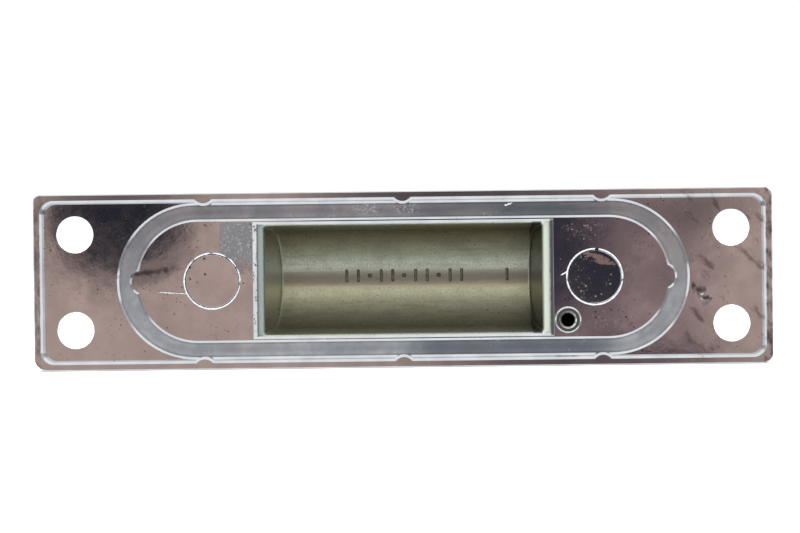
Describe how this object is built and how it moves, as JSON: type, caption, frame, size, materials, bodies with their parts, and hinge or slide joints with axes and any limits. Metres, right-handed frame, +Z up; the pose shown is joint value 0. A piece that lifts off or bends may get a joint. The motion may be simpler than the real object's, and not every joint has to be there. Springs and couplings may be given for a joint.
{
  "type": "chromed door cover plate with barrel",
  "caption": "Rimmed chrome cover plate for a door: sealing groove round an island on the back, corner fixing holes, and a hollow half-round barrel riveted to the front.",
  "frame": {"origin": "centre of the plate's back rim, in the plane that meets the door", "axes": "X along the plate, +Z up, +Y from the plate into the door, so the barrel stands out towards -Y"},
  "size_m": [0.135, 0.02, 0.0324],
  "materials": {
    "casting_chrome": "bright chrome plating over an unpolished casting, with pits, specks and dull patches on the back",
    "barrel_plating": "bright chrome outside; inside it is bare yellowish nickel, satin and pitted",
    "rivet_chrome": "bright chrome, end dressed flat",
    "bush_nickel": "bright plating, dull on its annular end",
    "seal_compound": "satin grey sealing compound with a slight sheen"
  },
  "bodies": {
    "root": {"cover_plate": "casting_chrome", "barrel_shell": "barrel_plating", "left_rivet": "rivet_chrome", "right_rivet": "rivet_chrome", "threaded_bush": "bush_nickel", "groove_seal": "seal_compound"}
  },
  "joints": []
}
